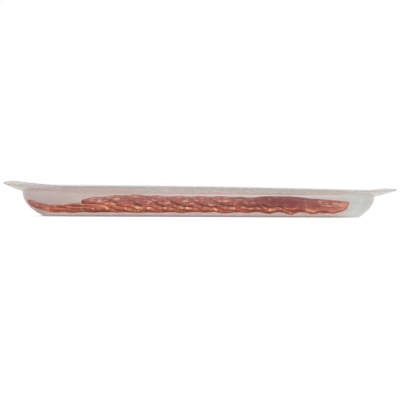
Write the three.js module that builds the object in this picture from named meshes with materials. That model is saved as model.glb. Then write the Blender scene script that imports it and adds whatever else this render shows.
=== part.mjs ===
// A sealed pack of sliced spicy salami: a shallow clear tray, a lidding film sealed to its flange and drawn
// down inside, and one row of oval slices laid like roof tiles from the left end wall towards the right one.
// Millimetres, +Z up, +X along the pack, -Y towards the viewer. The origin is under the middle of the pack.

import * as THREE from 'three';

// The pack's outline, the cavity's rim and the foot that it lies on
const PACK_LENGTH = 230;
const PACK_CORNER = 12;
const RIM_LENGTH = 210;
const RIM_SHIFT = -0.9; // the rim sits a little to the left of the foot
const FOOT_LENGTH = 189;
const FOOT_WIDTH = 102;
const FOOT_CORNER = 15.5;
const FOOT_SHIFT = 0.8;

// Heights: the thin pack is not quite flat, and its flange bends up outwards, most at the left end
const RIM_HEIGHT = 13.8;
const END_TILT = 0.0115; // fall of the rim for each millimetre to the right
const FLANGE_RISE = 2.8;
const FLANGE_CROWN = 0.6; // how much more the long sides rise in their middles
const CROWN_REACH = 90;
const LEFT_CURL = 2.8;
const LEFT_CURL_FROM = 80;
const RIGHT_CURL = 1.6;
const RIGHT_CURL_FROM = 95;
const LEFT_CURL_POWER = 1.2;
const RIGHT_CURL_POWER = 2;
const CURL_PEAK = 35; // the ends curl most this far behind the middle
const CURL_REACH = 125; // and less towards the stiff corners, to nothing this far from there
const FLANGE_POWER = 1.3; // the flange steepens outwards
const WALL_POWER = 2.2; // the wall steepens upwards

// The plastic
const SHEET = 0.45;
const RIM_BEND = 0.6; // from the wall's top out to where the flange is level
const FLOOR_INSET = 9; // from the foot's outline in to the first ring of the floor
const SMALLEST_CORNER = 2;

// The film
const FILM = 0.2;
const SEAL_GAP = 0.25;
const FILM_LOW = 13.4; // underside in the middle of the pack
const FILM_FALL = 0.002;
const FILM_REACH = 45; // from the rim in to where the film lies level
const FILM_POWER = 2.2; // the film dips fastest beside the rim

// The slices
const SLICES = 12;
const SLICE_HALF_LENGTH = 30;
const SLICE_HALF_WIDTH = 52.5;
const SLICE_THICKNESS = 0.9;
const LAYER = 1.4; // one slice and the air above it, in the middle of the pack
const LOOSENESS = 0.25; // how much more there is at the long ends of the slices
const PITCH = 12.8;
const CROWDED_SLICES = 3; // the first slices lie closer
const CROWDING = 0.65;
const LAST_X = 61.3;
const SKEW = 0.04; // the row was laid a little aslant
const BED_HEIGHT = 2.3; // underside of the first slice at its long ends
const ARCH = 3; // rise of the slices in the middle, where the walls squeeze them
const ARCH_LOSS = 0.8; // the film presses the right end of the row down by this
const ARCH_LOSS_FROM = 15;
const ARCH_LOSS_RUN = 25;
const FLAT_SLICES = 3; // the first slices, by the left wall, lie flatter
const FLAT_ARCH = 0.6;
const STIFF_FROM = 6; // from this slice on, the middle of the row comes down further right
const STIFF_REACH = 29;
const STIFF_ACROSS = 0.2; // share of the half width that is stiffest
const FALL_RUN = 16; // length over which a slice comes down past the end of a lower one
const FALL_RUN_LOSS = 3; // how much shorter that is at the long ends
const FALL_LEAD = 2; // it starts this far before the lower slice's end
const FALL_LEAD_GAIN = 1.6;
const CHORD_LOSS = 0.94; // how much of its squared half length a slice loses by its long ends
const WALL_RIDE = 7; // climb of the first slice up the left wall
const WALL_RIDE_FROM = -82;
const WALL_RIDE_RUN = 22.5;
const WALL_RIDE_POWER = 2.4;
const SIDE_WANDER = 0.4; // how far a slice lies out of the row
const WANDER_STEP = 2.4; // radians from one slice to the next
const END_UNEVENNESS = 0.006; // shares by which the rim strays from a true oval
const END_STEP = 1.7;
const RIM_UNEVENNESS = 0.005;
const RIM_STEP = 2.9;
const LAST_SQUARENESS = 0.8; // the last slice's free side is nearly square

// How finely the outlines are split
const CORNER_STEPS = 6;
const LONG_STEPS = 10;
const SHORT_STEPS = 5;
const SLICE_STEPS = 34;
const SLICE_RINGS = [0.28, 0.54, 0.76, 0.9, 1]; // shares of the way out from a slice's middle
const WALL_RINGS = [0.07, 0.18, 0.32, 0.48, 0.64, 0.8, 0.93]; // shares of the rim's height
const FLANGE_RINGS = [0.3, 0.55, 0.8, 1]; // shares of the flange's width
const FILM_RINGS = [-38, -26, -14, -4, 4]; // distances out from the foot's outline

const SPREAD = (RIM_LENGTH - FOOT_LENGTH) / 2; // foot to rim, seen from above
const OVERHANG = (PACK_LENGTH - RIM_LENGTH) / 2;

const lerp = THREE.MathUtils.lerp;
const clamp = THREE.MathUtils.clamp;
const smoothstep = THREE.MathUtils.smoothstep;

// How far out along the flange a place lies: 0 at the rim, 1 at the outer edge.
const flangeShare = (grow) => clamp((grow - SPREAD) / OVERHANG, 0, 1);

// The foot's outline grown outwards by a distance, as a ring of points, anticlockwise from above.
function outline(grow) {
  const share = flangeShare(grow);
  const radius = share > 0
    ? lerp(FOOT_CORNER + SPREAD, PACK_CORNER, share)
    : Math.max(SMALLEST_CORNER, FOOT_CORNER + grow);
  const shift = share > 0
    ? lerp(RIM_SHIFT, 0, share)
    : lerp(FOOT_SHIFT, RIM_SHIFT, clamp(grow / SPREAD, 0, 1));
  const straightX = FOOT_LENGTH / 2 + grow - radius;
  const straightY = FOOT_WIDTH / 2 + grow - radius;
  const arcs = [[1, -1], [1, 1], [-1, 1], [-1, -1]].map(([sideX, sideY], corner) =>
    Array.from({ length: CORNER_STEPS + 1 }, (_, i) => {
      const angle = (corner - 1 + i / CORNER_STEPS) * Math.PI / 2;
      return [
        shift + sideX * straightX + radius * Math.cos(angle),
        sideY * straightY + radius * Math.sin(angle),
      ];
    }));
  return arcs.flatMap((arc, corner) => {
    const from = arc[CORNER_STEPS];
    const to = arcs[(corner + 1) % 4][0];
    const steps = corner % 2 ? LONG_STEPS : SHORT_STEPS;
    const side = Array.from({ length: steps - 1 }, (_, i) =>
      [0, 1].map((axis) => lerp(from[axis], to[axis], (i + 1) / steps)));
    return [...arc, ...side];
  });
}

// Height of a place on the tray that would lie at height z on a perfectly level one.
function warped(x, y, grow, z) {
  const level = Math.min(z / RIM_HEIGHT, 1);
  const left = Math.max(0, (-x - LEFT_CURL_FROM) / (PACK_LENGTH / 2 - LEFT_CURL_FROM));
  const right = Math.max(0, (x - RIGHT_CURL_FROM) / (PACK_LENGTH / 2 - RIGHT_CURL_FROM));
  const endCurl = LEFT_CURL * left ** LEFT_CURL_POWER + RIGHT_CURL * right ** RIGHT_CURL_POWER;
  const crown = FLANGE_CROWN * Math.max(0, 1 - (x / CROWN_REACH) ** 2);
  const rise = FLANGE_RISE + crown + endCurl * (1 - ((y - CURL_PEAK) / CURL_REACH) ** 2);
  return z - END_TILT * x * level ** 2 + rise * flangeShare(grow) ** FLANGE_POWER;
}

const trayRing = ([grow, z]) => outline(grow).map(([x, y]) => [x, y, warped(x, y, grow, z)]);

// A profile of [grow, z] points moved to its left by a distance, with mitred corners.
function offsetProfile(profile, distance) {
  return profile.map((point, i) => {
    const before = profile[Math.max(i - 1, 0)];
    const after = profile[Math.min(i + 1, profile.length - 1)];
    const normals = [[before, point], [point, after]].map(([a, b]) => {
      const run = new THREE.Vector2(b[0] - a[0], b[1] - a[1]);
      return run.lengthSq() > 0 ? new THREE.Vector2(-run.y, run.x).normalize() : null;
    });
    const first = normals[0] ?? normals[1];
    const second = normals[1] ?? normals[0];
    const mitre = first.clone().add(second);
    mitre.multiplyScalar(distance / (1 + first.dot(second)));
    return [point[0] + mitre.x, point[1] + mitre.y];
  });
}

// A closed solid from rings of equal length. The first ring closes on a point below, the last on one above.
function ringSolid(rings, firstCentre, lastCentre) {
  const count = rings[0].length;
  const points = [...rings.flat(), firstCentre, lastCentre];
  const first = points.length - 2;
  const last = points.length - 1;
  const faces = [];
  for (let j = 0; j < count; j++) {
    const next = (j + 1) % count;
    for (let i = 0; i + 1 < rings.length; i++) {
      const inner = i * count;
      const outer = inner + count;
      faces.push(inner + j, inner + next, outer + j, inner + next, outer + next, outer + j);
    }
    const end = (rings.length - 1) * count;
    faces.push(first, next, j, last, end + j, end + next);
  }
  const geometry = new THREE.BufferGeometry();
  geometry.setAttribute('position', new THREE.Float32BufferAttribute(points.flat(), 3));
  geometry.setIndex(faces);
  geometry.computeVertexNormals();
  return geometry;
}

// The tray: one sheet drawn into a shallow cavity, its outer face first, then its inner face to the middle.
function trayGeometry() {
  const wall = WALL_RINGS.map((share) => [SPREAD * (1 - (1 - share) ** WALL_POWER), RIM_HEIGHT * share]);
  const outer = [
    [-FLOOR_INSET, 0],
    [0, 0],
    ...wall,
    [SPREAD + RIM_BEND, RIM_HEIGHT],
    ...FLANGE_RINGS.map((share) => [SPREAD + OVERHANG * share, RIM_HEIGHT]),
  ];
  const inner = offsetProfile(outer, SHEET).reverse();
  const rings = [...outer, ...inner].map(trayRing);
  return ringSolid(rings, [FOOT_SHIFT, 0, 0], [FOOT_SHIFT, 0, SHEET]);
}

// Underside of the film: it lies on the flange, then dips from the rim to its low level in the middle.
function filmHeight(x, y, grow) {
  const sealed = warped(x, y, grow, RIM_HEIGHT) + SHEET + SEAL_GAP;
  const reach = clamp((SPREAD - grow) / FILM_REACH, 0, 1);
  return lerp(sealed, FILM_LOW - FILM_FALL * x, 1 - (1 - reach) ** FILM_POWER);
}

function filmGeometry() {
  const grows = [...FILM_RINGS, SPREAD, ...FLANGE_RINGS.map((share) => SPREAD + OVERHANG * share)];
  const layer = (lift) => grows.map((grow) =>
    outline(grow).map(([x, y]) => [x, y, filmHeight(x, y, grow) + lift]));
  const rings = [...layer(0), ...layer(FILM).reverse()];
  return ringSolid(rings, [0, 0, FILM_LOW], [0, 0, FILM_LOW + FILM]);
}

function sliceCentre(k) {
  const crowded = Math.max(0, CROWDED_SLICES - k);
  return LAST_X - PITCH * (SLICES - 1 - k) + CROWDING * crowded ** 2;
}

// Underside of slice k. Every slice follows the same draped surface, one layer higher than the one before.
// The surface comes down by a layer where each lower slice ends, so that the long ends lie near the floor.
function sliceHeight(k, x, y) {
  const across = Math.min(1, Math.abs(y / SLICE_HALF_WIDTH));
  const halfChord = SLICE_HALF_LENGTH * Math.sqrt(1 - CHORD_LOSS * across ** 4);
  const stiff = STIFF_REACH * (1 - smoothstep(across, STIFF_ACROSS, 1));
  const run = FALL_RUN - FALL_RUN_LOSS * across ** 2;
  const lead = FALL_LEAD + FALL_LEAD_GAIN * across ** 2;
  const along = x - SKEW * y;
  let settled = 0;
  for (let j = 0; j < SLICES - 1; j++) {
    const start = sliceCentre(j) + halfChord + (j >= STIFF_FROM ? stiff : 0) - lead;
    settled += smoothstep(along, start, start + run);
  }
  const ride = WALL_RIDE * Math.max(0, (WALL_RIDE_FROM - x) / WALL_RIDE_RUN) ** WALL_RIDE_POWER;
  const pressed = ARCH - ARCH_LOSS * smoothstep(x, ARCH_LOSS_FROM, ARCH_LOSS_FROM + ARCH_LOSS_RUN);
  const arch = k < FLAT_SLICES ? FLAT_ARCH : pressed;
  return BED_HEIGHT + arch * (1 - across ** 2) + (LAYER + LOOSENESS * across ** 3) * (k - settled) + ride;
}

// A pressed oval with straighter sides than an ellipse: x squared and y to the fourth power make its rim.
// On the last slice's free side, x is nearly to the fourth power too.
function sliceGeometry(k) {
  const centreX = sliceCentre(k);
  const centreY = SIDE_WANDER * Math.sin(WANDER_STEP * k);
  const ring = (share, lift) => Array.from({ length: SLICE_STEPS }, (_, i) => {
    const angle = i / SLICE_STEPS * 2 * Math.PI;
    const [cos, sin] = [Math.cos(angle), Math.sin(angle)];
    const oval = cos * Math.sqrt(1 + sin ** 2);
    const squarer = Math.sqrt(Math.max(0, oval));
    const reach = k === SLICES - 1 && oval > 0 ? lerp(oval, squarer, LAST_SQUARENESS) : oval;
    const uneven = 1 + END_UNEVENNESS * Math.sin(2 * angle + END_STEP * k) * sin ** 2
      + RIM_UNEVENNESS * Math.sin(5 * angle + RIM_STEP * k);
    const y = centreY + share * uneven * SLICE_HALF_WIDTH * sin;
    const x = centreX + share * reach * uneven * SLICE_HALF_LENGTH + SKEW * y;
    return [x, y, sliceHeight(k, x, y) + lift];
  });
  const rings = [
    ...SLICE_RINGS.map((share) => ring(share, 0)),
    ...SLICE_RINGS.map((share) => ring(share, SLICE_THICKNESS)).reverse(),
  ];
  const middleX = centreX + SKEW * centreY;
  const middle = sliceHeight(k, middleX, centreY);
  return ringSolid(rings, [middleX, centreY, middle], [middleX, centreY, middle + SLICE_THICKNESS]);
}

const clearPlastic = new THREE.MeshStandardMaterial({
  color: '#c7c8c4',
  roughness: 0.15,
  transparent: true,
  opacity: 0.35,
});
const clearFilm = new THREE.MeshStandardMaterial({
  color: '#d6d2cf',
  roughness: 0.1,
  transparent: true,
  opacity: 0.25,
});
const salami = new THREE.MeshStandardMaterial({ color: '#a84a3a', roughness: 0.5 });

const pack = new THREE.Group();
pack.name = 'sliced_salami_pack';

function add(name, geometry, material) {
  const mesh = new THREE.Mesh(geometry, material);
  mesh.name = name;
  pack.add(mesh);
}

add('tray', trayGeometry(), clearPlastic);
for (let k = 0; k < SLICES; k++) {
  add('slice_' + String(k + 1).padStart(2, '0'), sliceGeometry(k), salami);
}
add('lid_film', filmGeometry(), clearFilm);

export default pack;
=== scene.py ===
"""A sealed pack of sliced spicy salami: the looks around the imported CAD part, in its own frame."""

import math

import bpy
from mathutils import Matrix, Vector, noise


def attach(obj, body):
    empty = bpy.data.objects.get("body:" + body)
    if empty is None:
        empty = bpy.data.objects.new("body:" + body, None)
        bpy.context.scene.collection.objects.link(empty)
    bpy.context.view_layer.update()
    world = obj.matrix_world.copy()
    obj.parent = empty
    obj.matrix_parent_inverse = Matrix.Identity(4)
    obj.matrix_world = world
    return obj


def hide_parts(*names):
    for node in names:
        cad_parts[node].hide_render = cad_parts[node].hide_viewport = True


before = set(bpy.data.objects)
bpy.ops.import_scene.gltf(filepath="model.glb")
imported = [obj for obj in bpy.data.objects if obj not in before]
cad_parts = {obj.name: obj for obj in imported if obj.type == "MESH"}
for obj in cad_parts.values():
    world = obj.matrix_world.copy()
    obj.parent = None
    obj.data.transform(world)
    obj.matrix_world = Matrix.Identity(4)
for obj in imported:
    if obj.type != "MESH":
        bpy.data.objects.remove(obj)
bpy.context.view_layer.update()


# The tray. One sheet of clear PET, warmed and drawn down into a shallow mould, then cut out by a die with a
# wide flange. The flange is bent up outwards, most at its left end.

MM = 0.001  # every size below is in millimetres, and every mesh in metres

PACK_LENGTH = 230.0
PACK_CORNER = 12.0
RIM_LENGTH = 210.0
RIM_SHIFT = -0.9
RIM_HEIGHT = 13.8
RIM_ROUND_OUT = 1.1
RIM_ROUND_DOWN = 0.85
FOOT_LENGTH = 189.0
FOOT_WIDTH = 102.0
FOOT_CORNER = 15.5
FOOT_SHIFT = 0.8
LEAST_CORNER = 2.0
SPREAD = (RIM_LENGTH - FOOT_LENGTH) / 2
OVERHANG = (PACK_LENGTH - RIM_LENGTH) / 2
WALL_BEND = 2.2
WALL_FOOT = 0.03  # in shares of the rim's height
WALL_HEAD = 0.93
WALL_STEPS = 15
ROUND_STEPS = 5
FLANGE_START = 0.2  # in shares of the flange
FLANGE_STEPS = 10
SHEET = 0.45

FLANGE_RISE = 2.8
FLANGE_BEND = 1.3
FLANGE_CROWN = 0.6
CROWN_REACH = 90.0
LEFT_CURL = 2.8
LEFT_CURL_FROM = 80.0
LEFT_CURL_BEND = 1.2
RIGHT_CURL = 1.6
RIGHT_CURL_FROM = 95.0
RIGHT_CURL_BEND = 2
CURL_PEAK = 35.0
CURL_REACH = 125.0
END_TILT = 0.0115


def lerp(a, b, t):
    return a + (b - a) * t


def clamp01(t):
    return max(0.0, min(1.0, t))


def ramp(value, span):
    """0 before a span, 1 after it and soft at both ends. A span is where it starts and how long it is."""
    start, length = span
    t = clamp01((value - start) / length)
    return t * t * (3 - 2 * t)


def flange_share(grow):
    """0 at the cavity's rim, 1 at the flange's outer edge."""
    return clamp01((grow - SPREAD) / OVERHANG)


def outline(grow, corner_steps=14, long_steps=64, short_steps=36):
    """The foot's outline grown outwards, as a ring of points, anticlockwise from above."""
    share = flange_share(grow)
    if share > 0:
        radius = lerp(FOOT_CORNER + SPREAD, PACK_CORNER, share)
        shift = lerp(RIM_SHIFT, 0, share)
    else:
        radius = max(LEAST_CORNER, FOOT_CORNER + grow)
        shift = lerp(FOOT_SHIFT, RIM_SHIFT, clamp01(grow / SPREAD))
    straight_x = FOOT_LENGTH / 2 + grow - radius
    straight_y = FOOT_WIDTH / 2 + grow - radius
    arcs = []
    for corner, (side_x, side_y) in enumerate(((1, -1), (1, 1), (-1, 1), (-1, -1))):
        angles = [(corner - 1 + i / corner_steps) * math.pi / 2 for i in range(corner_steps + 1)]
        arcs.append([(shift + side_x * straight_x + radius * math.cos(a),
                      side_y * straight_y + radius * math.sin(a)) for a in angles])
    ring = []
    for corner, arc in enumerate(arcs):
        start, end = arc[-1], arcs[(corner + 1) % 4][0]
        steps = long_steps if corner % 2 else short_steps
        ring += arc
        ring += [(lerp(start[0], end[0], i / steps), lerp(start[1], end[1], i / steps))
                 for i in range(1, steps)]
    return ring


def warped(x, y, grow, z):
    """Height of a place on the tray that would be at z on a perfectly level one. Each end's flange is bent up
    most behind its middle, and less towards its corners."""
    left = max(0.0, (-x - LEFT_CURL_FROM) / (PACK_LENGTH / 2 - LEFT_CURL_FROM))
    right = max(0.0, (x - RIGHT_CURL_FROM) / (PACK_LENGTH / 2 - RIGHT_CURL_FROM))
    end_curl = LEFT_CURL * left ** LEFT_CURL_BEND + RIGHT_CURL * right ** RIGHT_CURL_BEND
    crown = FLANGE_CROWN * max(0.0, 1 - (x / CROWN_REACH) ** 2)
    rise = FLANGE_RISE + crown + end_curl * (1 - ((y - CURL_PEAK) / CURL_REACH) ** 2)
    tilt = END_TILT * x * min(z / RIM_HEIGHT, 1.0) ** 2
    return z - tilt + rise * flange_share(grow) ** FLANGE_BEND


def moved_profile(profile, distance):
    """A profile of (grow, z) points moved to its left by a distance."""
    runs = [Vector(end) - Vector(start) for start, end in zip(profile, profile[1:])]
    normals = [Vector((-run.y, run.x)).normalized() for run in runs]
    moved = []
    for (grow, z), before, after in zip(profile, normals[:1] + normals, normals + normals[-1:]):
        mitre = (before + after) * (distance / (1 + before.dot(after)))
        moved.append((grow + mitre.x, z + mitre.y))
    return moved


def ring_mesh(name, rings, first_centre, last_centre):
    """A closed mesh from rings of equal length, shut at the first ring and at the last one by a point each.
    These two points come last in the mesh."""
    count = len(rings[0])
    points = [p for ring in rings for p in ring] + [first_centre, last_centre]
    first, last = len(points) - 2, len(points) - 1
    end = (len(rings) - 1) * count
    faces = []
    for j in range(count):
        k = (j + 1) % count
        for inner in range(0, end, count):
            faces.append((inner + j, inner + k, inner + count + k, inner + count + j))
        faces.append((first, k, j))
        faces.append((last, end + j, end + k))
    mesh = bpy.data.meshes.new(name)
    mesh.from_pydata([(x * MM, y * MM, z * MM) for x, y, z in points], [], faces)
    mesh.shade_smooth()
    obj = bpy.data.objects.new(name, mesh)
    bpy.context.collection.objects.link(obj)
    return obj


floor_edge = [(grow, 0.0) for grow in (-9.0, -3.0, -0.5)]
wall_heights = [lerp(WALL_FOOT, WALL_HEAD, i / WALL_STEPS) for i in range(WALL_STEPS + 1)]
wall = [(SPREAD * (1 - (1 - height) ** WALL_BEND), RIM_HEIGHT * height) for height in wall_heights]
round_angles = [math.pi / 2 * i / ROUND_STEPS for i in range(1, ROUND_STEPS + 1)]
rim_round = [(SPREAD + RIM_ROUND_OUT * (1 - math.cos(a)), RIM_HEIGHT - RIM_ROUND_DOWN * (1 - math.sin(a)))
             for a in round_angles]
flange_shares = [lerp(FLANGE_START, 1, i / FLANGE_STEPS) for i in range(FLANGE_STEPS + 1)]
flange = [(SPREAD + OVERHANG * share, RIM_HEIGHT) for share in flange_shares]
under_side = floor_edge + wall + rim_round + flange
tray_profile = under_side + moved_profile(under_side, SHEET)[::-1]
tray_rings = [[(x, y, warped(x, y, grow, z)) for x, y in outline(grow)] for grow, z in tray_profile]
tray = ring_mesh("thermoformed_tray", tray_rings, (FOOT_SHIFT, 0, 0), (FOOT_SHIFT, 0, SHEET))


def linear(code):
    """An sRGB hex colour as linear RGBA."""
    parts = [int(code[i:i + 2], 16) / 255 for i in (1, 3, 5)]
    return [c / 12.92 if c <= 0.04045 else ((c + 0.055) / 1.055) ** 2.4 for c in parts] + [1.0]


def add_node(material, kind, settings=None, links=None):
    """A node in the material's tree, with socket values and attributes set and sockets linked from others."""
    node = material.node_tree.nodes.new(kind)
    for key, value in (settings or {}).items():
        if isinstance(key, str) and hasattr(node, key):
            setattr(node, key, value)
        else:
            node.inputs[key].default_value = value
    for key, source in (links or {}).items():
        material.node_tree.links.new(source, node.inputs[key])
    return node


def new_material(name):
    material = bpy.data.materials.new(name)
    material.use_nodes = True
    material.node_tree.nodes.clear()
    return material


# Clear PET, drawn over a polished mould: it takes a little light away, evenly, and shines like glass at its
# bends. It is a little greyer at its thick left tip, clearer along the weld, and faintly pink along the
# slices, partly from a smear of oil and partly from painted light that the slices reflect onto it.
DRAW_MARK = 14.0  # from one soft mark of the drawing to the next
GRAZING_POWER = 5.0
HEAD_ON_SHINE = 0.03
PET_SHINE = 0.2  # at a slant
SHARE, COLOUR_A, COLOUR_B, MIXED = 0, 6, 7, 2  # the sockets of a Mix node that is set to colours

pet = new_material("clear PET sheet, thermoformed")
facing = add_node(pet, "ShaderNodeLayerWeight", {"Blend": 0.5})
grazing = add_node(pet, "ShaderNodeMath", {"operation": "POWER", 1: GRAZING_POWER},
                   {0: facing.outputs["Facing"]})
gloss_share = add_node(pet, "ShaderNodeMath",
                       {"operation": "MULTIPLY_ADD", 1: PET_SHINE, 2: HEAD_ON_SHINE, "use_clamp": True},
                       {0: grazing.outputs[0]})
place = add_node(pet, "ShaderNodeTexCoord")
draw_marks = add_node(pet, "ShaderNodeTexNoise", {"Scale": 1 / (DRAW_MARK * MM), "Detail": 4.0},
                      {"Vector": place.outputs["Object"]})
drawn = add_node(pet, "ShaderNodeMix",
                 {"data_type": "RGBA", COLOUR_A: linear("#ececeb"), COLOUR_B: linear("#f2f2f1")},
                 {SHARE: draw_marks.outputs["Fac"]})
thick_tip = add_node(pet, "ShaderNodeAttribute", {"attribute_name": "clamped"})
tipped = add_node(pet, "ShaderNodeMix", {"data_type": "RGBA", COLOUR_B: linear("#e2e2e0")},
                  {SHARE: thick_tip.outputs["Fac"], COLOUR_A: drawn.outputs[MIXED]})
weld = add_node(pet, "ShaderNodeAttribute", {"attribute_name": "welded"})
welded = add_node(pet, "ShaderNodeMix", {"data_type": "RGBA", COLOUR_B: linear("#f7f6f5")},
                  {SHARE: weld.outputs["Fac"], COLOUR_A: tipped.outputs[MIXED]})
# A pink tint along the slices: partly a smear of oil, partly painted light reflected from the slices.
smear_and_bounce = add_node(pet, "ShaderNodeAttribute", {"attribute_name": "smear_and_bounce"})
smeared_and_bounced = add_node(pet, "ShaderNodeMix", {"data_type": "RGBA", COLOUR_B: linear("#eae2e0")},
                   {SHARE: smear_and_bounce.outputs["Fac"], COLOUR_A: welded.outputs[MIXED]})
clear = add_node(pet, "ShaderNodeBsdfTransparent", {}, {"Color": smeared_and_bounced.outputs[MIXED]})
polish = add_node(pet, "ShaderNodeMapRange",
                  {"From Min": 0.3, "From Max": 0.7, "To Min": 0.06, "To Max": 0.2},
                  {"Value": draw_marks.outputs["Fac"]})
shine = add_node(pet, "ShaderNodeBsdfGlossy", {"Color": linear("#f4f4f2")},
                 {"Roughness": polish.outputs["Result"]})
sheet = add_node(pet, "ShaderNodeMixShader", {},
                 {0: gloss_share.outputs[0], 1: clear.outputs[0], 2: shine.outputs[0]})
add_node(pet, "ShaderNodeOutputMaterial", {}, {"Surface": sheet.outputs[0]})
tray.data.materials.append(pet)

# The die leaves a frosted edge on the cut sheet, which looks grey because it scatters light sideways.
BURR = 0.8  # coarser than a real burr, so that it shows

cut_edge = new_material("clear PET sheet, die-cut edge")
through = add_node(cut_edge, "ShaderNodeBsdfTransparent", {"Color": linear("#e6e4e3")})
frost = add_node(cut_edge, "ShaderNodeBsdfDiffuse", {"Color": linear("#a8a2a1")})
place = add_node(cut_edge, "ShaderNodeTexCoord")
burr = add_node(cut_edge, "ShaderNodeTexNoise", {"Scale": 1 / (BURR * MM), "Detail": 2.0},
                {"Vector": place.outputs["Object"]})
frosting = add_node(cut_edge, "ShaderNodeMapRange",
                    {"From Min": 0.3, "From Max": 0.7, "To Min": 0.4, "To Max": 0.8},
                    {"Value": burr.outputs["Fac"]})
edge_mix = add_node(cut_edge, "ShaderNodeMixShader", {},
                    {0: frosting.outputs["Result"], 1: through.outputs[0], 2: frost.outputs[0]})
add_node(cut_edge, "ShaderNodeOutputMaterial", {}, {"Surface": edge_mix.outputs[0]})


def frost_cut_edge(piece, rings_below, ring_size):
    """Give the faces between the last ring below and the first ring above the cut edge's material."""
    piece.data.materials.append(cut_edge)
    edge = range((rings_below - 1) * ring_size, (rings_below + 1) * ring_size)
    for face in piece.data.polygons:
        if all(v in edge for v in face.vertices):
            face.material_index = 1


def note_on_points(piece, name, values, vectors=False):
    """Keep a number or a vector at each point of a mesh, for its material to read."""
    attribute = piece.data.attributes.new(name, "FLOAT_VECTOR" if vectors else "FLOAT", "POINT")
    attribute.data.foreach_set("vector" if vectors else "value", values)


# The tray's pink tint: partly a smear of oil, partly painted light reflected from the slices.
TINT_STOPS = (80.0, 14.0)  # along the pack, where the slices end
TINT_FADES = (6.0, 8.0)  # up the wall
TINT_LOSS = 0.8
LEFT_TINT_LOSS = 0.55  # of that loss, where the slices lie low
HIGH_SLICES = (-60.0, 40.0)
THICK_TIP = (98.0, 8.0)  # leftwards, from the middle of the pack
WELD_STARTS = (0.0, 0.05)  # in shares of the flange
WELD_STOPS = (0.4, 0.4)
WELD_ENDS = (85.0, 15.0)  # towards both ends of the pack


def smear_and_bounce_share(x, grow, z):
    """How much the tray is tinted pink, partly by a smear of oil and partly by painted light reflected from
    the slices: along the slices, and less up the wall.
    """
    up_wall = TINT_LOSS * ramp(z, TINT_FADES) * lerp(LEFT_TINT_LOSS, 1, ramp(x, HIGH_SLICES))
    return (1 - ramp(x, TINT_STOPS)) * (1 - flange_share(grow)) * (1 - up_wall)


def weld_share(x, grow):
    """How far the film and the flange are one clear sheet: on the flange's inner half, away from its ends."""
    share = flange_share(grow)
    return ramp(share, WELD_STARTS) * (1 - ramp(share, WELD_STOPS)) * (1 - ramp(abs(x), WELD_ENDS))


frost_cut_edge(tray, len(under_side), len(tray_rings[0]))
tray_places = [(x, grow, z) for (grow, z), ring in zip(tray_profile, tray_rings) for x, _, _ in ring]
note_on_points(tray, "smear_and_bounce", [smear_and_bounce_share(x, grow, z) for x, grow, z in tray_places] + [1.0, 1.0])
tip_shares = [flange_share(grow) * ramp(-x, THICK_TIP) for x, grow, z in tray_places]
note_on_points(tray, "clamped", tip_shares + [0.0, 0.0])
note_on_points(tray, "welded", [weld_share(x, grow) for x, grow, z in tray_places] + [0.0, 0.0])
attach(tray, "root")
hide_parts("tray")


# The slices. Spicy salami: coarse lean pork and back fat, cured with hot paprika and pressed oval, then
# sliced thin by machine and laid in a row, each on the one before. They bend over one another, and their
# edges are oily and orange.

SLICES = 12
SLICE_HALF_LENGTH = 30.0
SLICE_HALF_WIDTH = 52.5
SLICE_THICKNESS = 1.1
END_THICKNESS = 1.62
FLAT_SLICES = 3  # the first slices lie flat, the others arch over the pack's middle
THICK_END = (0.91, 0.06)  # across a slice, as shares of its half width
FLAT_THICK_END = (0.7, 0.2)

# The row: each slice a step further, the first ones pushed together.
PITCH = 12.8
CROWDING = 0.65
LAST_X = 61.3
SIDE_SLIP = 0.4
SLIP_TURN = 2.4  # radians from slice to slice, so that neighbours slip differently
SKEW = 0.04
CENTRES_X = [LAST_X - PITCH * (SLICES - 1 - k) + CROWDING * max(0, FLAT_SLICES - k) ** 2
             for k in range(SLICES)]
CENTRES_Y = [SIDE_SLIP * math.sin(SLIP_TURN * k) for k in range(SLICES)]

# The draped surface that all slices follow, a layer apart. It arches over the middle of the pack and climbs
# the left wall, and its long ends ripple from slice to slice.
BED_HEIGHT = 2.3
LAYER = 1.4
LOOSENESS = 0.25
CROWD_RISE = 0.25
CROWD_THINS = (-74.0, 42.0)
CROWD_END_LOSS = 0.65
ARCH = 3.4
FLAT_ARCH = 0.6
ARCH_LOSS = 1.3
ARCH_SINKS = (15.0, 25.0)
ARCH_REGAIN = 0.5
ARCH_RECOVERS = (65.0, 15.0)
WALL_RIDE = 6.6
RIDE_FROM = -82.0
RIDE_RUN = 22.5
RIDE_BEND = 2.4
FIRST_LIFT = 1.1
LIFT_STOPS = (-84.0, 14.0)
RIPPLE_FROM = 53.3
LEFT_RIPPLE = 0.3
RIPPLE_GROWS = (20.0, 30.0)
RIPPLE_POWER = 8  # keeps the ripple to the long ends

# The surface drops by a layer at the right edge of each slice below, later where the slices are stiff.
CHORD_LOSS = 0.94
DROP_RUN = 16.0
END_DROP_RUN = 13.0
DROP_LEAD = 2.0
END_DROP_LEAD = 3.6
STIFF_FROM = 6
STIFF_REACH = 29.0
STIFF_FADES = (0.2, 0.8)


def across_at(y):
    """0 along the middle of the row, 1 at the long ends of the slices."""
    return min(1.0, abs(y / SLICE_HALF_WIDTH))


def layer_at(x, across):
    """From one slice to the next: looser at the long ends, and where the first slices are pushed together."""
    crowded = CROWD_RISE * (1 - ramp(x, CROWD_THINS)) * (1 - CROWD_END_LOSS * across ** 2)
    return LAYER + LOOSENESS * across ** 3 + crowded


def first_lift(x):
    """How much the left end of the first slice, doubled under, lifts the slices on it."""
    return FIRST_LIFT * (1 - ramp(x, LIFT_STOPS))


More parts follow.
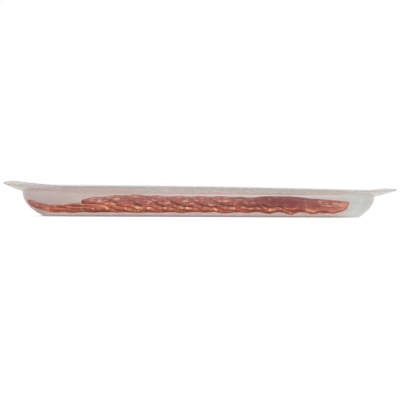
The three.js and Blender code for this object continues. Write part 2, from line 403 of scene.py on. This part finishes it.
def slice_height(k, x, y):
    """Underside of slice k. The draped surface comes down by a layer where each lower slice ends, so the long
    ends of the slices stay low along the whole row."""
    across = across_at(y)
    half_chord = SLICE_HALF_LENGTH * math.sqrt(1 - CHORD_LOSS * across ** 4)
    start = half_chord - lerp(DROP_LEAD, END_DROP_LEAD, across ** 2)
    run = lerp(DROP_RUN, END_DROP_RUN, across ** 2)
    stiff = STIFF_REACH * (1 - ramp(across, STIFF_FADES))
    settled = sum(ramp(x - SKEW * y, (CENTRES_X[j] + start + (stiff if j >= STIFF_FROM else 0), run))
                  for j in range(SLICES - 1))
    ride = WALL_RIDE * max(0.0, (RIDE_FROM - x) / RIDE_RUN) ** RIDE_BEND
    arch = ARCH - ARCH_LOSS * ramp(x, ARCH_SINKS) * (1 - ARCH_REGAIN * ramp(x, ARCH_RECOVERS))
    if k < FLAT_SLICES:
        arch = FLAT_ARCH
    wave = math.cos(2 * math.pi * (x - RIPPLE_FROM) / PITCH)
    ripple = lerp(LEFT_RIPPLE, 1, ramp(x, RIPPLE_GROWS)) * wave * across ** RIPPLE_POWER
    layers = layer_at(x, across) * (k - settled)
    return BED_HEIGHT + arch * (1 - across ** 2) + layers + ride + first_lift(x) - ripple


# The rim of a slice: uneven, ragged, and tucked in on its left side, where it is thin and lies lower.
LAST_SQUARENESS = 0.8  # of the last slice's free right edge
LEAST_COS = 0.001
UNEVEN_ENDS = 0.006
ENDS_TURN = 1.7  # radians from slice to slice
UNEVEN_RIM = 0.005
RIM_TURN = 2.9
RAGGED = 0.3
RAG_SIZE = 2.2
RAG_APART = 9.0
TUCKED_RIM = (0.75, 0.25)
TUCK_TURN = 6.0
TUCK_THINNING = 0.9
CRISP_SIDE = (10.0, 36.0)  # the far side of the arched slices, which isn't tucked in
FOLD_TIP = (-105.0, 6.0)


def end_share(k, across):
    """How much of its full end thickness slice k has: 1 at its long ends, 0 in its middle."""
    return ramp(across, FLAT_THICK_END if k < FLAT_SLICES else THICK_END)


def slice_point(k, share, angle, level):
    """A place on slice k: its share of the way out to the rim, its angle, and its level, 0 underneath and
    1 on top."""
    cos, sin = math.cos(angle), math.sin(angle)
    square = math.sqrt(1 + sin ** 2)
    if k == SLICES - 1 and cos > 0:
        square = lerp(square, (1 + sin ** 2) ** 0.25 / math.sqrt(max(cos, LEAST_COS)), LAST_SQUARENESS)
    uneven_ends = UNEVEN_ENDS * math.sin(2 * angle + ENDS_TURN * k) * sin ** 2
    uneven = 1 + uneven_ends + UNEVEN_RIM * math.sin(5 * angle + RIM_TURN * k)
    x = share * square * uneven * SLICE_HALF_LENGTH * cos
    y = share * uneven * SLICE_HALF_WIDTH * sin
    ragged = RAGGED * share ** 4 * noise.noise(Vector((x / RAG_SIZE, y / RAG_SIZE, RAG_APART * k)))
    y += CENTRES_Y[k] + ragged * sin
    x += CENTRES_X[k] + ragged * cos + SKEW * y

    across = across_at(y)
    near_end = end_share(k, across)
    crisp = ramp(y, CRISP_SIDE) if k >= FLAT_SLICES else 0.0
    tucked = ramp(share, TUCKED_RIM) * clamp01(-TUCK_TURN * cos) * (1 - crisp)
    full = lerp(SLICE_THICKNESS, END_THICKNESS, near_end)
    thick = full * (1 - TUCK_THINNING * tucked * (1 - near_end))
    below = lerp(SLICE_THICKNESS, END_THICKNESS, end_share(k - 1, across))
    lowered = (layer_at(x, across) - below) * tucked
    fold = 0.0
    if k == 0:
        fold = first_lift(x) * ramp(x, FOLD_TIP)
    elif k == FLAT_SLICES:
        fold = (ARCH - FLAT_ARCH) * (1 - across ** 2)
    return x, y, slice_height(k, x, y) - (1 - level) * fold - lowered + level * thick


# What shows where on a slice, as spans of its rim, of its thickness or of millimetres.
RIM_BAND = (0.93, 0.06)
CASING_BAND = (0.945, 0.02)
OILY_BAND = (0.8, 0.15)
DRY_RIM_OIL = 0.12
WET_END = (0.82, 0.14)
LEFT_OIL_TOP = 7.6
RIGHT_OIL_TOP = 4.9
OIL_FALLS = (-60.0, 60.0)
OIL_FADE = 1.2
LAST_WET_RIGHT = (6.0, 10.0)
LAST_WET_NEAR = (10.0, 15.0)
UNDERSIDE_SHADE_RIGHT = (-12.0, 14.0)
GLINT_TOP = (0.6, 0.3)
GLINT_STOPS = (2.0, 12.0)
DARK_PATCH_SLICES = 2  # the last ones, which have a darker patch
DARK_PATCH_X = 45.0
DARK_PATCH_Y = -24.0
DARK_PATCH_HALF_LENGTH = 26.0
DARK_PATCH_HALF_WIDTH = 38.0
DARK_PATCH_EDGE = (-1.2, 0.6)
DARK_PATCH_UNEVEN = 0.4
DARK_PATCH_BLOTCH = 13.0
DARK_PATCH_FLECK = 5.0
FLECK_SHARE = 0.5
CUT_APART = 130.0  # each slice shows another part of the sausage, so its pattern is taken from elsewhere
CUT_DEEPER = 7.0

POINTS_AROUND = 160
RINGS = 22
ROUND_FROM = 0.972
LOWER_ROUND = [(0.985, 0.02), (0.993, 0.12), (0.998, 0.3)]  # share and level on the rim's round
RIM_MIDDLE = (1.0, 0.5)


def make_slice(k):
    """Slice k, with what its material reads at each point."""
    shares = [math.sqrt(i / RINGS) for i in range(1, RINGS - 1)] + [ROUND_FROM]
    lower_half = [(share, 0) for share in shares] + LOWER_ROUND
    upper_half = [(share, 1 - level) for share, level in reversed(lower_half)]
    rounds = lower_half + [RIM_MIDDLE] + upper_half
    angles = [2 * math.pi * i / POINTS_AROUND for i in range(POINTS_AROUND)]
    rings = [[slice_point(k, share, angle, level) for angle in angles] for share, level in rounds]
    middles = [slice_point(k, 0, 0, level) for level in (0, 1)]
    piece = ring_mesh(f"salami_slice_{k + 1:02d}", rings, *middles)

    places = [(place, share, level) for ring, (share, level) in zip(rings, rounds) for place in ring]
    places += [(middles[0], 0, 0), (middles[1], 0, 1)]
    cut_places = []
    shown = {"oil": [], "underside_shade": [], "glint": [], "lean": [], "casing": []}
    for (x, y, z), share, level in places:
        along = x - CENTRES_X[k]
        near_end = end_share(k, across_at(y))
        rim = ramp(share, RIM_BAND)
        cut_places += (along + CUT_APART * k, y - CENTRES_Y[k], z - slice_height(k, x, y) + CUT_DEEPER * k)
        oil_top = lerp(LEFT_OIL_TOP, RIGHT_OIL_TOP, ramp(x, OIL_FALLS))
        pooled = ramp(across_at(y), WET_END) * (1 - ramp(z, (oil_top, OIL_FADE)))
        if k == SLICES - 1:
            pooled = max(pooled, ramp(along, LAST_WET_RIGHT) * ramp(-y, LAST_WET_NEAR))
        shown["oil"].append(ramp(share, OILY_BAND) * lerp(DRY_RIM_OIL, 1, pooled))
        # Painted shade: the underside of each thick near rim is darker, towards its right.
        shown["underside_shade"].append(rim * near_end * (1 - level) * ramp(along, UNDERSIDE_SHADE_RIGHT))
        # Painted highlight: the top of each thick near rim, towards its left.
        shown["glint"].append(rim * near_end * ramp(level, GLINT_TOP) * (1 - ramp(along, GLINT_STOPS)))
        # A darker, redder patch on the last two slices, with fewer and duller grains of fat.
        blotches = noise.noise(Vector((x / DARK_PATCH_BLOTCH, y / DARK_PATCH_BLOTCH, 5.0)))
        flecks = noise.noise(Vector((x / DARK_PATCH_FLECK, y / DARK_PATCH_FLECK, 2.0)))
        outwards = math.hypot((x - DARK_PATCH_X) / DARK_PATCH_HALF_LENGTH, (y - DARK_PATCH_Y) / DARK_PATCH_HALF_WIDTH)
        patch = ramp(DARK_PATCH_UNEVEN * (blotches + FLECK_SHARE * flecks) - outwards, DARK_PATCH_EDGE)
        shown["lean"].append(patch if k >= SLICES - DARK_PATCH_SLICES else 0.0)
        shown["casing"].append(ramp(share, CASING_BAND) * (1 - near_end))
    note_on_points(piece, "cut_place", cut_places, vectors=True)
    for name, values in shown.items():
        note_on_points(piece, name, values)
    return piece


# Cured meat: dark red lean and paler grains of fat, with orange oil that gathers at the rim. Drops of that
# oil would catch the lamps; they are too small for the mesh, so their painted highlights are drawn as bright,
# slightly glowing spots on the top of the thick near rims.
GRAIN_SPACINGS = {"coarse": 4.4, "fine": 2.0}  # from one grain of fat to the next
GRAIN_STRAY = 2.6  # how far a grain's outline strays, and how often
LEAST_GRAIN = 0.28  # a grain's half width, in shares of the spacing
GRAIN_VARIES = 0.3
FINE_FAT = 0.6
MEAT_SHADE = 7.0
OIL_STRENGTH = 0.85
HIGHLIGHT_SPOT = 2.0
HIGHLIGHT_GLOW = 0.4
FAT_RELIEF = 0.12
LIGHT_SPREAD = 1.5
HIGHLIGHT_COLOUR = linear("#fbe0ac")

salami = new_material("spicy salami, machine sliced")
cut_place = add_node(salami, "ShaderNodeAttribute", {"attribute_name": "cut_place"})
oil = add_node(salami, "ShaderNodeAttribute", {"attribute_name": "oil"})
dark_patch_share = add_node(salami, "ShaderNodeAttribute", {"attribute_name": "lean"})
stray = add_node(salami, "ShaderNodeTexNoise", {"Scale": 1 / GRAIN_STRAY, "Detail": 2.0},
                 {"Vector": cut_place.outputs["Vector"]})
strayed = add_node(salami, "ShaderNodeVectorMath", {"operation": "MULTIPLY_ADD", 1: (GRAIN_STRAY,) * 3},
                   {0: stray.outputs["Color"], 2: cut_place.outputs["Vector"]})
bare_share = add_node(salami, "ShaderNodeMapRange", {"To Min": 0.5, "To Max": 0.64},
                      {"Value": dark_patch_share.outputs["Fac"]})
grains = {}
for size, spacing in GRAIN_SPACINGS.items():
    cell = add_node(salami, "ShaderNodeTexVoronoi", {"feature": "F1", "Scale": 1 / spacing},
                    {"Vector": strayed.outputs[0]})
    chance = add_node(salami, "ShaderNodeSeparateColor", {}, {"Color": cell.outputs["Color"]})
    chosen = add_node(salami, "ShaderNodeMath", {"operation": "GREATER_THAN"},
                      {0: chance.outputs["Red"], 1: bare_share.outputs["Result"]})
    reach = add_node(salami, "ShaderNodeMath", {"operation": "MULTIPLY_ADD", 1: GRAIN_VARIES, 2: LEAST_GRAIN},
                     {0: chance.outputs["Green"]})
    depth = add_node(salami, "ShaderNodeMath", {"operation": "SUBTRACT"},
                     {0: reach.outputs[0], 1: cell.outputs["Distance"]})
    inside = add_node(salami, "ShaderNodeMapRange", {"From Min": 0.0, "From Max": 0.1},
                      {"Value": depth.outputs[0]})
    grains[size] = add_node(salami, "ShaderNodeMath", {"operation": "MULTIPLY"},
                            {0: chosen.outputs[0], 1: inside.outputs["Result"]})
fine_fat = add_node(salami, "ShaderNodeMath", {"operation": "MULTIPLY", 1: FINE_FAT},
                    {0: grains["fine"].outputs[0]})
fat = add_node(salami, "ShaderNodeMath", {"operation": "MAXIMUM"},
               {0: grains["coarse"].outputs[0], 1: fine_fat.outputs[0]})
shade = add_node(salami, "ShaderNodeTexNoise", {"Scale": 1 / MEAT_SHADE, "Detail": 5.0},
                 {"Vector": cut_place.outputs["Vector"]})
lean = add_node(salami, "ShaderNodeMix",
                {"data_type": "RGBA", COLOUR_A: linear("#7d2b24"), COLOUR_B: linear("#b05950")},
                {SHARE: shade.outputs["Fac"]})
# Darker and redder in the patch on the last slices, where the fat is duller too.
lean_with_dark_patch = add_node(salami, "ShaderNodeMix", {"data_type": "RGBA", COLOUR_B: linear("#73101a")},
                     {SHARE: dark_patch_share.outputs["Fac"], COLOUR_A: lean.outputs[MIXED]})
fat_colour = add_node(salami, "ShaderNodeMix",
                      {"data_type": "RGBA", COLOUR_A: linear("#d8a692"), COLOUR_B: linear("#9a4f4e")},
                      {SHARE: dark_patch_share.outputs["Fac"]})
meat = add_node(salami, "ShaderNodeMix", {"data_type": "RGBA"},
                {SHARE: fat.outputs[0], COLOUR_A: lean_with_dark_patch.outputs[MIXED],
                 COLOUR_B: fat_colour.outputs[MIXED]})
casing_share = add_node(salami, "ShaderNodeAttribute", {"attribute_name": "casing"})
cased = add_node(salami, "ShaderNodeMix", {"data_type": "RGBA", COLOUR_B: linear("#842c1c")},
                 {SHARE: casing_share.outputs["Fac"], COLOUR_A: meat.outputs[MIXED]})
oil_colour = add_node(salami, "ShaderNodeMix",
                      {"data_type": "RGBA", COLOUR_A: linear("#ca6140"), COLOUR_B: linear("#e6a664")},
                      {SHARE: fat.outputs[0]})
oil_share = add_node(salami, "ShaderNodeMath", {"operation": "MULTIPLY", 1: OIL_STRENGTH},
                     {0: oil.outputs["Fac"]})
oily = add_node(salami, "ShaderNodeMix", {"data_type": "RGBA"},
                {SHARE: oil_share.outputs[0], COLOUR_A: cased.outputs[MIXED],
                 COLOUR_B: oil_colour.outputs[MIXED]})
# Painted shade on the undersides of the thick near rims.
underside_shade_share = add_node(salami, "ShaderNodeAttribute", {"attribute_name": "underside_shade"})
underside_shaded = add_node(salami, "ShaderNodeMix", {"data_type": "RGBA", COLOUR_B: linear("#a84a38")},
                   {SHARE: underside_shade_share.outputs["Fac"], COLOUR_A: oily.outputs[MIXED]})
# Painted highlights: small bright spots on the top of the thick near rims, which also glow a little.
glint_share = add_node(salami, "ShaderNodeAttribute", {"attribute_name": "glint"})
highlight_spots = add_node(salami, "ShaderNodeTexNoise", {"Scale": 1 / HIGHLIGHT_SPOT, "Detail": 2.0},
                 {"Vector": cut_place.outputs["Vector"]})
highlight_spot_share = add_node(salami, "ShaderNodeMapRange", {"From Min": 0.6, "From Max": 0.64},
                      {"Value": highlight_spots.outputs["Fac"]})
painted_highlight = add_node(salami, "ShaderNodeMath", {"operation": "MULTIPLY"},
               {0: glint_share.outputs["Fac"], 1: highlight_spot_share.outputs["Result"]})
with_painted_highlights = add_node(salami, "ShaderNodeMix", {"data_type": "RGBA", COLOUR_B: HIGHLIGHT_COLOUR},
                 {SHARE: painted_highlight.outputs[0], COLOUR_A: underside_shaded.outputs[MIXED]})
sparkle = add_node(salami, "ShaderNodeMath", {"operation": "MULTIPLY", 1: HIGHLIGHT_GLOW}, {0: painted_highlight.outputs[0]})
relief = add_node(salami, "ShaderNodeBump", {"Strength": 0.5, "Distance": FAT_RELIEF * MM},
                  {"Height": fat.outputs[0]})
gloss = add_node(salami, "ShaderNodeMapRange", {"To Min": 0.8, "To Max": 0.3}, {"Value": oil.outputs["Fac"]})
flesh = add_node(salami, "ShaderNodeBsdfPrincipled",
                 {"IOR": 1.42, "Specular IOR Level": 0.3, "Emission Color": HIGHLIGHT_COLOUR,
                  "Subsurface Weight": 0.4, "Subsurface Radius": (1.0, 0.4, 0.3),
                  "Subsurface Scale": LIGHT_SPREAD * MM},
                 {"Base Color": with_painted_highlights.outputs[MIXED], "Roughness": gloss.outputs["Result"],
                  "Normal": relief.outputs[0], "Emission Strength": sparkle.outputs[0]})
add_node(salami, "ShaderNodeOutputMaterial", {}, {"Surface": flesh.outputs[0]})

for k in range(SLICES):
    piece = make_slice(k)
    piece.data.materials.append(salami)
    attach(piece, "root")
    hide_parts(f"slice_{k + 1:02d}")


# The lidding film. A thin clear polyester film, heat-sealed on the flange all round and drawn down towards
# the slices as the pack was closed, so that it dips from the rim to its level middle.

FILM = 0.12
FILM_LOW = 13.4
FILM_TILT = 0.002
SEAL_GAP = 0.25
DIP_REACH = 45.0
DIP_BEND = 2.2
FILM_INSIDE = 50.0
DIP_STEPS = 30
SEALED_STEPS = 8
WRINKLE_HEIGHT = 0.12
WRINKLE_SIZE = 9.0
SEAL_STARTS = (0.25, 0.05)  # in shares of the flange
SEAL_STOPS = (0.85, 0.05)


def film_height(x, y, grow):
    """Underside of the film: on the flange outside the rim, and dipping inside it."""
    sealed = warped(x, y, grow, RIM_HEIGHT) + SHEET + SEAL_GAP
    reach = clamp01((SPREAD - grow) / DIP_REACH)
    pull = 4 * reach * (1 - reach)
    wrinkle = WRINKLE_HEIGHT * pull * noise.noise(Vector((x / WRINKLE_SIZE, y / WRINKLE_SIZE, 3.0)))
    return lerp(sealed, FILM_LOW - FILM_TILT * x, 1 - (1 - reach) ** DIP_BEND) + wrinkle


grows = [lerp(SPREAD - FILM_INSIDE, SPREAD, i / DIP_STEPS) for i in range(DIP_STEPS + 1)]
grows += [SPREAD + OVERHANG * i / SEALED_STEPS for i in range(1, SEALED_STEPS + 1)]
film_under = [[(x, y, film_height(x, y, grow)) for x, y in outline(grow)] for grow in grows]
film_over = [[(x, y, z + FILM) for x, y, z in ring] for ring in reversed(film_under)]
film = ring_mesh("lidding_film", film_under + film_over, (0, 0, FILM_LOW), (0, 0, FILM_LOW + FILM))

# Polyester film: clearer than the tray, with more shine at a slant, and hazy there and along the pressed
# seal.
FILM_SHINE = 0.4  # at a slant
HAZE_POWER = 6.0
SLANT_HAZE = 0.75
HEAD_ON_HAZE = 0.02
SEAL_HAZE = 0.12
SEAL_GRIT = 1.2
FILM_PULL = 9.0
CREASE_HEIGHT = 0.3

polyester = new_material("clear polyester lidding film")
facing = add_node(polyester, "ShaderNodeLayerWeight", {"Blend": 0.5})
grazing = add_node(polyester, "ShaderNodeMath", {"operation": "POWER", 1: GRAZING_POWER},
                   {0: facing.outputs["Facing"]})
gloss_share = add_node(polyester, "ShaderNodeMath",
                       {"operation": "MULTIPLY_ADD", 1: FILM_SHINE, 2: HEAD_ON_SHINE, "use_clamp": True},
                       {0: grazing.outputs[0]})
slant = add_node(polyester, "ShaderNodeMath", {"operation": "POWER", 1: HAZE_POWER},
                 {0: facing.outputs["Facing"]})
slant_haze = add_node(polyester, "ShaderNodeMath",
                      {"operation": "MULTIPLY_ADD", 1: SLANT_HAZE, 2: HEAD_ON_HAZE}, {0: slant.outputs[0]})
place = add_node(polyester, "ShaderNodeTexCoord")
grit = add_node(polyester, "ShaderNodeTexNoise", {"Scale": 1 / (SEAL_GRIT * MM), "Detail": 1.0},
                {"Vector": place.outputs["Object"]})
seal = add_node(polyester, "ShaderNodeAttribute", {"attribute_name": "seal"})
pressed = add_node(polyester, "ShaderNodeMath", {"operation": "MULTIPLY"},
                   {0: seal.outputs["Fac"], 1: grit.outputs["Fac"]})
haze_share = add_node(polyester, "ShaderNodeMath", {"operation": "MULTIPLY_ADD", 1: SEAL_HAZE},
                      {0: pressed.outputs[0], 2: slant_haze.outputs[0]})
pulls = add_node(polyester, "ShaderNodeTexNoise", {"Scale": 1 / (FILM_PULL * MM), "Detail": 3.0},
                 {"Vector": place.outputs["Object"]})
slick = add_node(polyester, "ShaderNodeMapRange",
                 {"From Min": 0.3, "From Max": 0.7, "To Min": 0.12, "To Max": 0.28},
                 {"Value": pulls.outputs["Fac"]})
creases = add_node(polyester, "ShaderNodeBump", {"Strength": 0.4, "Distance": CREASE_HEIGHT * MM},
                   {"Height": pulls.outputs["Fac"]})
clear = add_node(polyester, "ShaderNodeBsdfTransparent", {"Color": linear("#fbfbfa")})
haze = add_node(polyester, "ShaderNodeBsdfTranslucent", {"Color": linear("#dad5d3")})
hazy = add_node(polyester, "ShaderNodeMixShader", {},
                {0: haze_share.outputs[0], 1: clear.outputs[0], 2: haze.outputs[0]})
shine = add_node(polyester, "ShaderNodeBsdfGlossy", {"Color": linear("#f6f6f5")},
                 {"Roughness": slick.outputs["Result"], "Normal": creases.outputs[0]})
sheet = add_node(polyester, "ShaderNodeMixShader", {},
                 {0: gloss_share.outputs[0], 1: hazy.outputs[0], 2: shine.outputs[0]})
add_node(polyester, "ShaderNodeOutputMaterial", {}, {"Surface": sheet.outputs[0]})
film.data.materials.append(polyester)

frost_cut_edge(film, len(film_under), len(film_under[0]))
film_shares = [flange_share(grow) for grow in grows + grows[::-1] for _ in film_under[0]]
seals = [ramp(share, SEAL_STARTS) * (1 - ramp(share, SEAL_STOPS)) for share in film_shares]
note_on_points(film, "seal", seals + [0.0, 0.0])
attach(film, "root")
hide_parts("lid_film")


# The studio. A white table of paper in a white tent, two broad lamps above and in front, and a long lens
# level with the pack. Its sizes are in metres.

TABLE_SIZE = 8.0
TABLE_TOP = -0.0002  # just below the foot, so that the two don't share a plane

bpy.ops.mesh.primitive_plane_add(size=TABLE_SIZE, location=(0, 0, TABLE_TOP))
table = bpy.context.object
table.name = "white_table"
# Matt paper that also glows a little, so that it looks white and the pack's shadow on it stays faint.
paper = new_material("white paper backdrop")
matt = add_node(paper, "ShaderNodeBsdfDiffuse", {"Color": linear("#c4c4c4")})
glow = add_node(paper, "ShaderNodeEmission", {"Color": linear("#ffffff"), "Strength": 0.5})
lit = add_node(paper, "ShaderNodeAddShader", {}, {0: matt.outputs[0], 1: glow.outputs[0]})
add_node(paper, "ShaderNodeOutputMaterial", {}, {"Surface": lit.outputs[0]})
table.data.materials.append(paper)

TENT_LIGHT = 1.0
CLEAR_LAYERS = 48  # sheets of clear plastic that a ray of light may pass

scene = bpy.context.scene
tent = bpy.data.worlds.new("white tent")
tent.use_nodes = True
tent.node_tree.nodes["Background"].inputs["Color"].default_value = (1, 1, 1, 1)
tent.node_tree.nodes["Background"].inputs["Strength"].default_value = TENT_LIGHT
scene.world = tent
scene.view_settings.view_transform = "Standard"
scene.cycles.transparent_max_bounces = CLEAR_LAYERS


def add_lamp(name, size, watts, place):
    """A square soft lamp that points at the pack."""
    lamp = bpy.data.lights.new(name, "AREA")
    lamp.size = size
    lamp.energy = watts
    lamp_object = bpy.data.objects.new(name, lamp)
    lamp_object.location = place
    lamp_object.rotation_euler = (-Vector(place)).to_track_quat("-Z", "Y").to_euler()
    bpy.context.collection.objects.link(lamp_object)


add_lamp("overhead lamp", size=0.7, watts=3.0, place=(-0.1, -0.35, 0.7))
add_lamp("front lamp", size=1.2, watts=6.0, place=(-0.35, -1.15, 0.75))

SENSOR = 36.0  # millimetres
PHOTO_WIDTH = 400  # pixels
FOCAL_PIXELS = 2119
LENS_DISTANCE = 1.3
LENS_HEIGHT = 0.010
LENS_ROLL = -0.25  # degrees

lens = bpy.data.cameras.new("long lens")
lens.sensor_width = SENSOR
lens.lens = FOCAL_PIXELS / PHOTO_WIDTH * SENSOR
lens.clip_start = 0.05
camera = bpy.data.objects.new("long lens", lens)
camera.location = (0, -LENS_DISTANCE, LENS_HEIGHT)
camera.rotation_euler = (math.radians(90), math.radians(LENS_ROLL), 0)
bpy.context.collection.objects.link(camera)
scene.camera = camera
